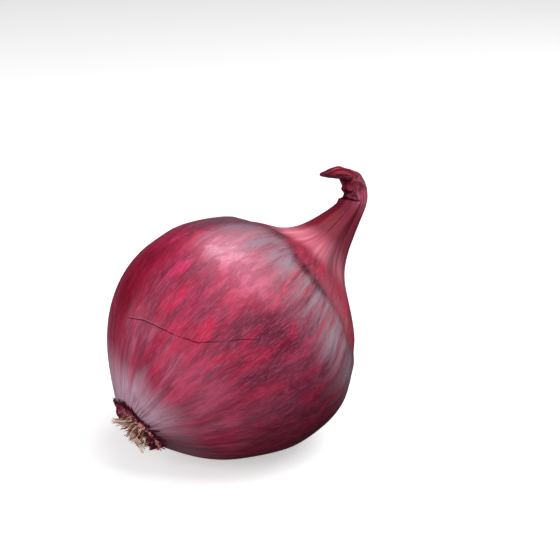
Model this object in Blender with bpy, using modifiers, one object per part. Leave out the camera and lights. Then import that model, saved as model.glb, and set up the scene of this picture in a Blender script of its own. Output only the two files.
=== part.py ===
# Red onion lying on its side, with its dry roots, the torn collar of skin round them,
# and the dried neck that curls over at its tip. Metres, +Z up.
#
# The onion's own axis runs from the roots to the neck. It lies in the XZ plane and rises
# towards +X. The origin is the middle of the flat spot that the bulb rests on.
#
# Every piece is modelled upright, with +Z along the axis to the neck, +X on the side that
# ends up underneath and z = 0 at the widest part. An empty then lays them down together.

import math
import random

import bmesh
import bpy
import numpy as np
from mathutils import Matrix, Vector

MM = 0.001

# Lying pose
AXIS_RISE = 30.5                  # degrees that the axis rises towards the neck
SPOT_DEPTH = 1.15 * MM            # how far the flat spot is pressed into the round underside

# Bulb and neck: distance along the onion's line, and radius there, both in mm
SKIN_STATIONS = (
    (-38.4, 9.0), (-36.6, 12.1), (-33.0, 17.9), (-28.0, 24.2), (-20.0, 30.8), (-10.0, 35.8),
    (0.0, 37.7), (9.0, 37.1), (17.0, 32.8), (24.0, 27.3), (30.0, 19.9), (35.0, 13.3),
    (40.0, 9.3), (46.0, 6.6), (51.0, 5.1), (55.0, 4.3), (60.0, 4.0), (65.0, 3.7), (69.0, 3.3),
    (72.0, 2.5), (74.2, 1.3),
)
TIP = 74.8                        # mm along the line, where the curled tip closes

# The onion's line, in mm: distance along it, rise above the axis, side, distance up the axis
GROWTH_LINE = (
    (-52.0, 0.0, 0.0, -52.0), (-38.0, 0.0, 0.0, -38.0), (-24.0, 0.0, 0.0, -24.0),
    (-10.0, 0.0, 0.0, -10.0), (4.0, -0.5, 0.0, 4.0), (18.0, 0.1, 0.0, 18.0),
    (32.0, 1.2, 0.0, 32.0), (44.0, 2.9, 0.0, 43.8),
    (51.0, 4.5, -0.2, 50.6), (56.0, 6.5, -0.4, 55.2), (60.0, 9.3, -0.4, 58.1), (62.4, 11.6, -0.3, 58.8),
    (64.9, 14.1, -0.1, 58.5), (68.3, 17.0, 0.5, 56.6), (71.6, 19.0, 1.2, 54.0), (74.8, 20.8, 2.0, 51.4),
)
# Section of the neck: distance along the line in mm, then as shares of the radius its size
# in the plane of the bend, its size across, the depth of the pleats and the hollow underneath
NECK_SECTION = (
    (20.0, 1.0, 1.0, 0.0, 0.0), (28.0, 1.0, 1.0, 0.0, 0.0), (36.0, 1.0, 1.0, 0.015, 0.0),
    (44.0, 1.0, 1.0, 0.05, 0.0), (51.0, 0.94, 1.03, 0.075, 0.0), (56.0, 0.8, 1.12, 0.09, 0.05),
    (61.0, 0.74, 1.25, 0.09, 0.15), (65.0, 0.7, 1.25, 0.08, 0.35), (70.0, 0.68, 1.12, 0.04, 0.8),
    (74.8, 0.6, 1.0, 0.0, 0.8),
)
PLEATS = 7                        # folds round the dried neck
PLEAT_TWIST = 0.035               # radians that the folds wind round, for each mm of neck
LOBES = ((2, 0.007, 0.6), (3, 0.004, 2.1), (5, 0.0015, 0.4))    # count, share of the radius, phase
# Hollows in the skin: distance along the line and reach, both in mm, angle, share of the radius
KINKS = ((5.5, 8.5, 2.85, 0.04), (60.3, 2.0, 4.25, 0.3), (64.5, 1.4, 3.6, 0.16))

# Mesh of the bulb
AROUND = 48
BODY_STEP = 2.7 * MM
NECK_STEP = 1.45 * MM
NECK_FROM = 36.0                  # mm along the line, where the finer steps begin

# Socket in the root end, and the root plate that sits in it
LIP_WIDTH = 0.3 * MM
LIP_DROP = 0.25 * MM
SOCKET_RADIUS = 6.5 * MM
SOCKET_FLOOR = -35.8 * MM
PLATE_RADIUS = 6.1 * MM
PLATE_OFF_AXIS = 2.0 * MM
PLATE_SIDE = 5.6                  # radians round the axis: the plate sits off it on that side
PLATE_INSIDE = -36.2 * MM
PLATE_RIM = -38.6 * MM
PLATE_TOP = -39.7 * MM
PLATE_STEPS = 28

# Dry roots on the plate
ROOTS = 72
ROOT_THICKNESS = 0.85 * MM
ROOT_LENGTH = (1.7 * MM, 4.8 * MM)
ROOT_FOOT = 1.3 * MM              # length that is sunk in the plate
ROOT_MARGIN = 0.9 * MM            # from the outermost feet to the plate's rim
ROOT_LEAN = (0.25, 0.75)          # outward lean at the rim
ROOT_BEND = 0.22                  # share of its length that a root's tip bends aside
ROOT_SEGMENTS = 3
ROOT_SEED = 11

# Torn collar of dry skin round the root plate
COLLAR_TEETH = 34
COLLAR_THICKNESS = 0.65 * MM
COLLAR_LIFT = 0.7 * MM            # from the bulb's skin to the middle of the sheet
COLLAR_EDGE = -38.7 * MM          # torn edge towards the roots
COLLAR_TEAR = 0.35 * MM
COLLAR_BAND = -38.0 * MM          # foot of the teeth
COLLAR_ROWS = 4
TOOTH_SHAPE = (0.0, 0.5, 1.0, 0.55)             # share of its length at each column of a tooth
TOOTH_LENGTH = (0.7 * MM, 1.8 * MM)
TOOTH_LEAN = 0.03
TOOTH_LIFT = 0.25 * MM
COLLAR_SEED = 5

SHORT_SIDE = 2.5                  # radians round the axis: teeth and roots are shortest there
SHORTENING = 0.55
MERGE = 0.01 * MM

SKIN_RED = (0.235, 0.012, 0.042, 1.0)
COLLAR_PURPLE = (0.055, 0.006, 0.022, 1.0)
ROOT_STRAW = (0.36, 0.225, 0.115, 1.0)


def clear_scene():
    for thing in list(bpy.data.objects):
        bpy.data.objects.remove(thing)


def new_collection(name):
    made = bpy.data.collections.new(name)
    bpy.context.scene.collection.children.link(made)
    return made


def material(name, colour, roughness):
    made = bpy.data.materials.new(name)
    made.use_nodes = True
    shader = made.node_tree.nodes["Principled BSDF"]
    shader.inputs["Base Color"].default_value = colour
    shader.inputs["Roughness"].default_value = roughness
    shader.inputs["Metallic"].default_value = 0.0
    return made


def smooth_curve(stations, at):
    """Values at the distances `at`, on a natural cubic spline through stations of (distance, values)."""
    table = np.array(stations)
    keys, values = table[:, 0], table[:, 1:]
    gaps = np.diff(keys)
    bend = np.eye(len(keys))
    push = np.zeros_like(values)
    for i in range(1, len(keys) - 1):
        bend[i, i - 1:i + 2] = gaps[i - 1], 2 * (gaps[i - 1] + gaps[i]), gaps[i]
        push[i] = (values[i + 1] - values[i]) / gaps[i] - (values[i] - values[i - 1]) / gaps[i - 1]
    curving = np.linalg.solve(bend, push)
    at = np.clip(np.atleast_1d(at), keys[0], keys[-1])
    i = np.clip(np.searchsorted(keys, at) - 1, 0, len(keys) - 2)
    gap = gaps[i][:, None]
    t = (at - keys[i])[:, None] / gap
    straight = (1 - t) * values[i] + t * values[i + 1]
    return straight + gap**2 * (((1 - t)**3 - (1 - t)) * curving[i] + (t**3 - t) * curving[i + 1])


def skin_radius(along):
    return smooth_curve(SKIN_STATIONS, along / MM)[:, 0] * MM


def skin_profile():
    """(radius, distance) from the tip down to the lip round the roots, evenly spaced on the skin."""
    first, last = SKIN_STATIONS[0][0] * MM, SKIN_STATIONS[-1][0] * MM
    fine = np.linspace(first, last, 2000)
    radii = skin_radius(fine)
    steps = np.hypot(np.diff(fine), np.diff(radii))
    spacing = np.where(fine[1:] < NECK_FROM * MM, BODY_STEP, NECK_STEP)
    count = np.concatenate([[0.0], np.cumsum(steps / spacing)])
    rings = np.interp(np.linspace(0, count[-1], round(count[-1]) + 1), count, fine)
    return [(r, z) for r, z in zip(skin_radius(rings), rings)][::-1]


def weld(body):
    body.modifiers.new("Weld", "WELD").merge_threshold = MERGE


def turned(name, profile, steps, owner):
    """A closed body turned about Z. The profile is (radius, z), and runs down its outer side."""
    mesh = bpy.data.meshes.new(name)
    points = [(radius, 0.0, z) for radius, z in profile]
    mesh.from_pydata(points, [(i, i + 1) for i in range(len(points) - 1)], [])
    body = bpy.data.objects.new(name, mesh)
    owner.objects.link(body)
    screw = body.modifiers.new("Turn", "SCREW")
    screw.steps = screw.render_steps = steps
    screw.use_merge_vertices = True
    screw.merge_threshold = MERGE
    weld(body)
    return body


def fixed_mesh(body):
    """Replaces a body by its evaluated mesh, with no modifiers."""
    bpy.context.view_layer.update()
    graph = bpy.context.evaluated_depsgraph_get()
    mesh = bpy.data.meshes.new_from_object(body.evaluated_get(graph))
    made = bpy.data.objects.new(body.name + "_fixed", mesh)
    made.matrix_world = body.matrix_world
    for owner in body.users_collection:
        owner.objects.link(made)
    name = body.name
    bpy.data.objects.remove(body)
    made.name = mesh.name = name
    return made


def line_frame(along):
    """Middle of the section, and its two directions, at each distance along the onion's line."""
    def middle(at):
        rise, side, up = (smooth_curve(GROWTH_LINE, at / MM) * MM).T
        return np.stack([-rise, side, up], axis=1)

    step = 0.05 * MM
    ahead = middle(along + step) - middle(along - step)
    past_end = along > GROWTH_LINE[-1][0] * MM - step
    ahead[past_end] = middle(along[past_end]) - middle(along[past_end] - step)
    ahead /= np.linalg.norm(ahead, axis=1)[:, None]
    outward = np.cross((0.0, 1.0, 0.0), ahead)
    outward /= np.linalg.norm(outward, axis=1)[:, None]
    return middle(along), outward, np.cross(ahead, outward)


def lobed(angle):
    return 1 + sum(share * np.cos(count * angle + phase) for count, share, phase in LOBES)


def grow_skin(points):
    """Moves the points of the straight turned body to where the grown skin has them."""
    along = points[:, 2] / MM
    angle = np.arctan2(points[:, 1], points[:, 0])
    flat, wide, pleat, hollow = smooth_curve(NECK_SECTION, along).T
    radius = np.hypot(points[:, 0], points[:, 1]) * lobed(angle)
    radius *= 1 + pleat * np.cos(PLEATS * angle + PLEAT_TWIST * along)
    for place, reach, facing, depth in KINKS:
        near = np.exp(-(((along - place) / reach) ** 2))
        radius *= 1 - depth * near * np.clip(np.cos(angle - facing), 0, None) ** 3
    above = radius * flat * np.cos(angle)
    above = np.where(above < 0, above * (1 - hollow), above)
    middle, outward, across = line_frame(points[:, 2])
    return middle + outward * above[:, None] + across * (radius * wide * np.sin(angle))[:, None]


def vertex_array(mesh):
    points = np.empty(len(mesh.vertices) * 3)
    mesh.vertices.foreach_get("co", points)
    return points.reshape(-1, 3)


def set_vertices(mesh, points):
    mesh.vertices.foreach_set("co", points.ravel())
    mesh.update()


def plate_middle():
    return np.array((math.cos(PLATE_SIDE), math.sin(PLATE_SIDE), 0.0)) * PLATE_OFF_AXIS


def make_bulb(owner):
    lip = SKIN_STATIONS[0][0] * MM
    socket = [
        (SOCKET_RADIUS + LIP_WIDTH, lip - LIP_DROP),
        (SOCKET_RADIUS, lip),
        (SOCKET_RADIUS, SOCKET_FLOOR),
        (0.0, SOCKET_FLOOR),
    ]
    profile = [(0.0, TIP * MM)] + skin_profile() + socket
    bulb = fixed_mesh(turned("bulb", profile, AROUND, owner))
    points = vertex_array(bulb.data)
    in_socket = np.hypot(points[:, 0], points[:, 1]) < SOCKET_RADIUS + LIP_WIDTH + MERGE
    in_socket &= points[:, 2] < 0
    set_vertices(bulb.data, np.where(in_socket[:, None], points + plate_middle(), grow_skin(points)))
    return bulb


def lay_down(bulb, others):
    """Presses the flat spot into the bulb, and lays all the pieces down with its middle at the origin."""
    turn = np.array(Matrix.Rotation(math.radians(90 - AXIS_RISE), 3, "Y"))
    lying = vertex_array(bulb.data) @ turn.T
    rest_height = lying[:, 2].min() + SPOT_DEPTH
    spot = lying[lying[:, 2] < rest_height].mean(axis=0)
    lying[:, 2] = np.maximum(lying[:, 2], rest_height)
    set_vertices(bulb.data, lying @ turn)
    carrier = bpy.data.objects.new("lying_onion", None)
    bulb.users_collection[0].objects.link(carrier)
    carrier.rotation_euler = (0.0, math.radians(90 - AXIS_RISE), 0.0)
    carrier.location = (-spot[0], 0.0, -rest_height)
    for part in [bulb, *others]:
        part.parent = carrier


def shortening(angle):
    return 1 - SHORTENING * max(0.0, math.cos(angle - SHORT_SIDE))


def make_root(number, draw, owner):
    """One dry root: a bent, tapering thread whose foot is sunk in the plate."""
    golden = math.pi * (3 - math.sqrt(5))
    share = math.sqrt((number + 0.5) / ROOTS)
    angle = number * golden + draw.uniform(-0.2, 0.2)
    foot = Matrix.Rotation(angle, 3, "Z") @ Vector((share * (PLATE_RADIUS - ROOT_MARGIN), 0, PLATE_RIM))
    length = draw.uniform(*ROOT_LENGTH) * shortening(angle)
    lean = share * draw.uniform(*ROOT_LEAN)
    turn = angle + draw.uniform(-0.9, 0.9)
    out = Vector((math.cos(turn) * lean, math.sin(turn) * lean, -1.0)).normalized()
    bend = Vector((draw.uniform(-1, 1), draw.uniform(-1, 1), 0.2)) * ROOT_BEND * length
    line = bpy.data.curves.new(f"root_{number}", "CURVE")
    line.dimensions = "3D"
    line.bevel_depth = ROOT_THICKNESS / 2
    line.bevel_resolution = 0
    line.use_fill_caps = True
    spline = line.splines.new("POLY")
    spline.points.add(ROOT_SEGMENTS)
    for i, point in enumerate(spline.points):
        t = i / ROOT_SEGMENTS
        place = foot + out * (length + ROOT_FOOT) * t + bend * t * t
        point.co = (*place, 1.0)
        point.radius = 1.15 - 0.6 * t
    root = bpy.data.objects.new(line.name, line)
    owner.objects.link(root)
    weld(root)
    return root


def make_roots(owner, helpers):
    """The root plate in its socket, with the beard of dry roots united to it."""
    profile = [
        (0.0, PLATE_INSIDE),
        (PLATE_RADIUS, PLATE_INSIDE),
        (PLATE_RADIUS, PLATE_RIM),
        (PLATE_RADIUS * 0.82, PLATE_RIM * 0.3 + PLATE_TOP * 0.7),
        (PLATE_RADIUS * 0.5, PLATE_RIM * 0.1 + PLATE_TOP * 0.9),
        (0.0, PLATE_TOP),
    ]
    plate = fixed_mesh(turned("roots", profile, PLATE_STEPS, owner))
    draw = random.Random(ROOT_SEED)
    for number in range(ROOTS):
        fixed_mesh(make_root(number, draw, helpers))
    join = plate.modifiers.new("Grow", "BOOLEAN")
    join.operation = "UNION"
    join.operand_type = "COLLECTION"
    join.collection = helpers
    grown = fixed_mesh(plate)
    set_vertices(grown.data, vertex_array(grown.data) + plate_middle())
    for root in list(helpers.objects):
        bpy.data.objects.remove(root)
    return grown


def off_skin(along, angle, lift):
    """A point at a height above the bulb's skin, near the root end."""
    on_skin = max(along, SKIN_STATIONS[0][0] * MM)
    here, ahead = skin_radius(np.array([on_skin, on_skin + MERGE]))
    slope = math.atan((ahead - here) / MERGE)
    radius = here * lobed(angle) + lift * math.cos(slope)
    return radius * math.cos(angle), radius * math.sin(angle), along - lift * math.sin(slope)


def collar_columns():
    """For each column of the collar: its angle, its torn edge, its far edge and its lift there."""
    draw = random.Random(COLLAR_SEED)
    columns = []
    for tooth in range(COLLAR_TEETH):
        length = draw.uniform(*TOOTH_LENGTH) * shortening(2 * math.pi * tooth / COLLAR_TEETH)
        lean = draw.uniform(-TOOTH_LEAN, TOOTH_LEAN)
        lift = draw.uniform(0.0, TOOTH_LIFT)
        for part, reach in enumerate(TOOTH_SHAPE):
            angle = 2 * math.pi * (tooth + part / len(TOOTH_SHAPE)) / COLLAR_TEETH + lean * reach
            torn = COLLAR_EDGE + draw.uniform(-COLLAR_TEAR, COLLAR_TEAR)
            columns.append((angle, torn, COLLAR_BAND + length * reach, COLLAR_LIFT + lift * reach))
    return columns


def make_collar(owner):
    """The torn collar: a sheet just off the bulb's skin, with teeth that point up the bulb."""
    sheet = bmesh.new()
    grid = []
    for angle, torn, far, lift in collar_columns():
        shares = [row / (COLLAR_ROWS - 1) for row in range(COLLAR_ROWS)]
        lifts = [COLLAR_LIFT + (lift - COLLAR_LIFT) * t * t for t in shares]
        places = [off_skin(torn + (far - torn) * t, angle, high) for t, high in zip(shares, lifts)]
        grid.append([sheet.verts.new(place) for place in places])
    for here, there in zip(grid, grid[1:] + grid[:1]):
        for row in range(COLLAR_ROWS - 1):
            sheet.faces.new((here[row], there[row], there[row + 1], here[row + 1]))
    bmesh.ops.recalc_face_normals(sheet, faces=sheet.faces)
    mesh = bpy.data.meshes.new("skin_collar")
    sheet.to_mesh(mesh)
    sheet.free()
    collar = bpy.data.objects.new("skin_collar", mesh)
    owner.objects.link(collar)
    thicken = collar.modifiers.new("Thickness", "SOLIDIFY")
    thicken.thickness = COLLAR_THICKNESS
    thicken.offset = 0.0
    return fixed_mesh(collar)


def main():
    clear_scene()
    onion = new_collection("red_onion")
    helpers = new_collection("helpers")
    bulb = make_bulb(onion)
    collar = make_collar(onion)
    roots = make_roots(onion, helpers)
    bulb.data.materials.append(material("onion skin", SKIN_RED, 0.42))
    collar.data.materials.append(material("torn dry skin", COLLAR_PURPLE, 0.65))
    roots.data.materials.append(material("dry roots", ROOT_STRAW, 0.85))
    bulb.data.shade_smooth()
    bulb.data.set_sharp_from_angle(angle=math.radians(40))
    lay_down(bulb, [collar, roots])


main()
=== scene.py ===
import math
import random

import bpy
import numpy as np
from mathutils import Matrix, Vector


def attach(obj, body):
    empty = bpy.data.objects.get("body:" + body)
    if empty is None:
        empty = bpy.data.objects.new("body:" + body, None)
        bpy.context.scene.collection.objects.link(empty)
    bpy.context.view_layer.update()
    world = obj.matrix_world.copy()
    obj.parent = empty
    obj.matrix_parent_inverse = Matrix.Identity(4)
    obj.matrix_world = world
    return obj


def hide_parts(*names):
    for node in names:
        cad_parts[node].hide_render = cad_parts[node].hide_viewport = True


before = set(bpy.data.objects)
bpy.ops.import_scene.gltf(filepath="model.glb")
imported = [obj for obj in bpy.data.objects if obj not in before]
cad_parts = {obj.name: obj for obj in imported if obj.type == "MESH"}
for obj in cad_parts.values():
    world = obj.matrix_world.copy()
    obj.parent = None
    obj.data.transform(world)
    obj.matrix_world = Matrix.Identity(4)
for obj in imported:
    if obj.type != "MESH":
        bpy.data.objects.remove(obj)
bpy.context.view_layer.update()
print("frame loaded:", ", ".join(sorted(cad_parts)))

mm = 0.001
fullTurn = 2 * math.pi


# How the onion grew. Lengths are in mm and directions in radians. Distances run along the onion's
# line, from the roots up to the tip, and directions run round it.
growth = {
    "axisRise": 30.5,                       # degrees
    "bulbMiddle": (-1.882, 0.0, 35.612),    # of the straight bulb, once it lies down
    # distance, radius of the straight turned bulb
    "skin": (
        (-38.4, 9.0), (-36.6, 12.1), (-33.0, 17.9), (-28.0, 24.2), (-20.0, 30.8), (-10.0, 35.8),
        (0.0, 37.7), (9.0, 37.1), (17.0, 32.8), (24.0, 27.3), (30.0, 19.9), (35.0, 13.3),
        (40.0, 9.3), (46.0, 6.6), (51.0, 5.1), (55.0, 4.3), (60.0, 4.0), (65.0, 3.7), (69.0, 3.3),
        (72.0, 2.5), (74.2, 1.3),
    ),
    "tip": 74.8,
    # distance, rise above the axis, side, distance up the axis
    "line": (
        (-52.0, 0.0, 0.0, -52.0), (-38.0, 0.0, 0.0, -38.0), (-24.0, 0.0, 0.0, -24.0),
        (-10.0, 0.0, 0.0, -10.0), (4.0, -0.5, 0.0, 4.0), (18.0, 0.1, 0.0, 18.0),
        (32.0, 1.2, 0.0, 32.0), (44.0, 2.9, 0.0, 43.8),
        (51.0, 4.5, -0.2, 50.6), (56.0, 6.5, -0.4, 55.2), (60.0, 9.3, -0.4, 58.1),
        (62.4, 11.6, -0.3, 58.8), (64.9, 14.1, -0.1, 58.5), (68.3, 17.0, 0.5, 56.6),
        (71.6, 19.0, 1.2, 54.0), (74.8, 20.8, 2.0, 51.4),
    ),
    # distance, size in the plane of the bend, size across, depth of pleats, hollow underneath
    "neck": (
        (20.0, 1.0, 1.0, 0.0, 0.0), (28.0, 1.0, 1.0, 0.0, 0.0), (36.0, 1.0, 1.0, 0.015, 0.0),
        (44.0, 1.0, 1.0, 0.05, 0.0), (51.0, 0.94, 1.03, 0.075, 0.0),
        (56.0, 0.8, 1.12, 0.09, 0.05), (61.0, 0.74, 1.25, 0.09, 0.15),
        (65.0, 0.7, 1.25, 0.08, 0.35), (70.0, 0.68, 1.12, 0.04, 0.8), (74.8, 0.6, 1.0, 0.0, 0.8),
    ),
    "pleats": 7,
    "pleatTwist": 0.035,                    # radians for each mm
    # how far the bulb is from round: count round it, share of the radius, phase
    "lobes": ((2, 0.007, 0.6), (3, 0.004, 2.1), (5, 0.0015, 0.4)),
    # hollows: distance, reach, direction, share of the radius
    "kinks": ((5.5, 8.5, 2.85, 0.04), (60.3, 2.0, 4.25, 0.3), (64.5, 1.4, 3.6, 0.16)),
}


def smoothCurve(stations, at):
    # natural cubic spline through rows of (distance, values)
    table = np.array(stations)
    keys, values = table[:, 0], table[:, 1:]
    gaps = np.diff(keys)
    bend = np.eye(len(keys))
    push = np.zeros_like(values)
    for i in range(1, len(keys) - 1):
        bend[i, i - 1:i + 2] = gaps[i - 1], 2 * (gaps[i - 1] + gaps[i]), gaps[i]
        push[i] = (values[i + 1] - values[i]) / gaps[i] - (values[i] - values[i - 1]) / gaps[i - 1]
    curving = np.linalg.solve(bend, push)
    at = np.clip(np.atleast_1d(at), keys[0], keys[-1])
    i = np.clip(np.searchsorted(keys, at) - 1, 0, len(keys) - 2)
    gap = gaps[i][:, None]
    t = (at - keys[i])[:, None] / gap
    straight = (1 - t) * values[i] + t * values[i + 1]
    return straight + gap**2 * (((1 - t)**3 - (1 - t)) * curving[i] + (t**3 - t) * curving[i + 1])


def skinRadius(along):
    return smoothCurve(growth["skin"], along)[:, 0]


def lineFrame(along):
    # middle of the section and its two directions
    line = growth["line"]

    def middle(at):
        rise, side, up = smoothCurve(line, at).T
        return np.stack([-rise, side, up], axis=1)

    step = 0.05
    ahead = middle(along + step) - middle(along - step)
    pastEnd = along > line[-1][0] - step
    ahead[pastEnd] = middle(along[pastEnd]) - middle(along[pastEnd] - step)
    ahead /= np.linalg.norm(ahead, axis=1)[:, None]
    outward = np.cross((0.0, 1.0, 0.0), ahead)
    outward /= np.linalg.norm(outward, axis=1)[:, None]
    return middle(along), outward, np.cross(ahead, outward)


def lobed(around):
    return 1 + sum(share * np.cos(count * around + phase) for count, share, phase in growth["lobes"])


def grownPoint(along, around, radius):
    # where the grown skin has a point of the straight turned bulb
    flat, wide, pleat, hollow = smoothCurve(growth["neck"], along).T
    radius = radius * lobed(around)
    radius *= 1 + pleat * np.cos(growth["pleats"] * around + growth["pleatTwist"] * along)
    for place, reach, facing, depth in growth["kinks"]:
        near = np.exp(-(((along - place) / reach) ** 2))
        radius *= 1 - depth * near * np.clip(np.cos(around - facing), 0, None) ** 3
    above = radius * flat * np.cos(around)
    above = np.where(above < 0, above * (1 - hollow), above)
    middle, outward, across = lineFrame(along)
    return middle + outward * above[:, None] + across * (radius * wide * np.sin(around))[:, None]


def layDown(points):
    # from the upright onion to the lying one, in metres, with nothing below the floor
    turn = np.array(Matrix.Rotation(math.radians(90 - growth["axisRise"]), 3, "Y"))
    lying = points @ turn.T + np.array(growth["bulbMiddle"])
    lying[:, 2] = np.maximum(lying[:, 2], 0.01)
    return lying * mm


# Small helpers for shapes
def smoothStep(value, low, high):
    t = np.clip((value - low) / (high - low), 0, 1)
    return t * t * (3 - 2 * t)


def turnBetween(around, other):
    # signed angle from one to the other, the short way
    return (around - other + math.pi) % fullTurn - math.pi


def softPatch(along, around, place, reach):
    # a soft oval on the skin: place and reach are each a distance and a direction
    far = ((along - place[0]) / reach[0]) ** 2 + (turnBetween(around, place[1]) / reach[1]) ** 2
    return np.exp(-far)


def pathDistance(along, around, radius, path):
    # distance in mm to a path of (along, around) on the skin, and the share of the path there
    best = np.full(along.shape, 1e3)
    place = np.zeros(along.shape)
    for number, ((startAlong, startAround), (endAlong, endAround)) in enumerate(zip(path, path[1:])):
        dx = along - startAlong
        dy = turnBetween(around, startAround) * radius
        stepX = endAlong - startAlong
        stepY = (endAround - startAround) * radius
        t = np.clip((dx * stepX + dy * stepY) / np.hypot(stepX, stepY) ** 2, 0, 1)
        distance = np.hypot(dx - t * stepX, dy - t * stepY)
        closer = distance < best
        best = np.where(closer, distance, best)
        place = np.where(closer, number + t, place)
    return best, place / (len(path) - 1)


def sideOfRing(along, around, radius, path):
    # signed distance in mm to a line that runs round the onion, and the share of the line there
    places, turns = np.array(path).T
    middle = (turns[0] + turns[-1]) / 2
    at = middle + turnBetween(around, middle)
    step = 0.02
    lineAlong = np.interp(at, turns, places)
    slope = (np.interp(at + step, turns, places) - lineAlong) / (step * np.maximum(radius, 1))
    share = np.clip((at - turns[0]) / (turns[-1] - turns[0]), 0, 1)
    return (along - lineAlong) / np.sqrt(1 + slope**2), share


def sideOfRib(along, around, radius, path):
    # signed distance in mm to a line that runs up the onion, and the share of the line there
    places, turns = np.array(path).T
    lineAround = np.interp(along, places, turns)
    share = np.clip((along - places[0]) / (places[-1] - places[0]), 0, 1)
    return turnBetween(around, lineAround) * radius, share


noiseStart, noiseLength = -45, 160          # mm along the onion that the random fields cover


def wavyNoise(along, around, seed, count, spacing):
    # smooth random field that closes round the onion: count cells round it, spacing mm along it
    draw = np.random.default_rng(seed)
    rows = int(noiseLength / spacing) + 3
    cells = draw.uniform(-1, 1, (rows, count))
    x = np.mod(around, fullTurn) / fullTurn * count
    y = np.clip((along - noiseStart) / spacing, 0, rows - 2.001)
    i, j = x.astype(int) % count, y.astype(int)
    u, v = x - np.floor(x), y - np.floor(y)
    u, v = u * u * (3 - 2 * u), v * v * (3 - 2 * v)
    near = cells[j, i] * (1 - u) + cells[j, (i + 1) % count] * u
    far = cells[j + 1, i] * (1 - u) + cells[j + 1, (i + 1) % count] * u
    return near * (1 - v) + far * v


def meshPiece(name, points, faces, material, values=None, vectors=None, smooth=True):
    mesh = bpy.data.meshes.new(name)
    mesh.from_pydata(points.tolist() if hasattr(points, "tolist") else points, [], faces)
    for key, data in (values or {}).items():
        stored = mesh.attributes.new(key, "FLOAT", "POINT")
        stored.data.foreach_set("value", np.asarray(data, np.float32))
    for key, data in (vectors or {}).items():
        stored = mesh.attributes.new(key, "FLOAT_VECTOR", "POINT")
        stored.data.foreach_set("vector", np.asarray(data, np.float32).ravel())
    mesh.materials.append(material)
    if smooth:
        mesh.shade_smooth()
    mesh.update()
    piece = bpy.data.objects.new(name, mesh)
    bpy.context.scene.collection.objects.link(piece)
    return piece


# Helpers for finishes
def linearColour(red, green, blue):
    # from the usual 0 to 255 numbers
    def straight(value):
        value /= 255
        return value / 12.92 if value <= 0.04045 else ((value + 0.055) / 1.055) ** 2.4
    return (straight(red), straight(green), straight(blue), 1.0)


def newMaterial(name):
    made = bpy.data.materials.new(name)
    made.use_nodes = True
    return made, made.node_tree, made.node_tree.nodes["Principled BSDF"]


def addNode(tree, kind, **settings):
    node = tree.nodes.new(kind)
    for key, value in settings.items():
        setattr(node, key, value)
    return node


def attributeSocket(tree, name, output="Fac"):
    return addNode(tree, "ShaderNodeAttribute", attribute_name=name).outputs[output]


def feed(tree, socket, value):
    # a socket takes either a link or a plain value
    if isinstance(value, bpy.types.NodeSocket):
        tree.links.new(value, socket)
    else:
        socket.default_value = value


def mathSocket(tree, operation, *values):
    node = addNode(tree, "ShaderNodeMath", operation=operation)
    for socket, value in zip(node.inputs, values):
        feed(tree, socket, value)
    return node.outputs[0]


def rangeSocket(tree, value, low, high, start=0.0, end=1.0):
    node = addNode(tree, "ShaderNodeMapRange", interpolation_type="SMOOTHSTEP")
    for socket, given in zip(node.inputs, (value, low, high, start, end)):
        feed(tree, socket, given)
    return node.outputs[0]


def paintOver(tree, below, above, mask, amount=1.0):
    # lays a colour over another where the mask says
    node = addNode(tree, "ShaderNodeMix", data_type="RGBA")
    factor, lower, upper = node.inputs[0], node.inputs[6], node.inputs[7]
    feed(tree, factor, mathSocket(tree, "MULTIPLY", mask, amount) if amount != 1.0 else mask)
    feed(tree, lower, below)
    feed(tree, upper, above)
    return node.outputs[2]


def groupWithSockets(name, inputs, outputs):
    group = bpy.data.node_groups.new(name, "ShaderNodeTree")
    for label, value in inputs:
        socket = group.interface.new_socket(name=label, in_out="INPUT", socket_type="NodeSocketFloat")
        socket.default_value = value
    for label in outputs:
        group.interface.new_socket(name=label, in_out="OUTPUT", socket_type="NodeSocketFloat")
    given = addNode(group, "NodeGroupInput").outputs
    return group, given, addNode(group, "NodeGroupOutput").inputs


def buildGrowthStreaks():
    # strokes that run the way the skin or fibre grew
    inputs = (("Around", 24.0), ("Length", 18.0), ("Seed", 0.0), ("Low", 0.45), ("High", 0.6),
              ("Wobble", 0.3), ("Detail", 2.5))
    group, given, result = groupWithSockets("growthStreaks", inputs, ("Mask",))
    place = attributeSocket(group, "growth", "Vector")
    across = mathSocket(group, "DIVIDE", given["Around"], fullTurn)
    lengthwise = mathSocket(group, "DIVIDE", 100.0, given["Length"])
    scale = addNode(group, "ShaderNodeCombineXYZ")
    for socket, value in zip(scale.inputs, (across, across, lengthwise)):
        feed(group, socket, value)
    shift = addNode(group, "ShaderNodeCombineXYZ")
    for socket, share in zip(shift.inputs, (1.0, 1.7, 0.37)):
        feed(group, socket, mathSocket(group, "MULTIPLY", given["Seed"], share))
    stretched = addNode(group, "ShaderNodeVectorMath", operation="MULTIPLY_ADD")
    for socket, value in zip(stretched.inputs, (place, scale.outputs[0], shift.outputs[0])):
        feed(group, socket, value)
    noise = addNode(group, "ShaderNodeTexNoise")
    for label, value in (("Vector", stretched.outputs[0]), ("Scale", 1.0), ("Detail", given["Detail"]),
                         ("Roughness", 0.55), ("Distortion", given["Wobble"])):
        feed(group, noise.inputs[label], value)
    feed(group, result["Mask"], rangeSocket(group, noise.outputs[0], given["Low"], given["High"]))
    return group


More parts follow.
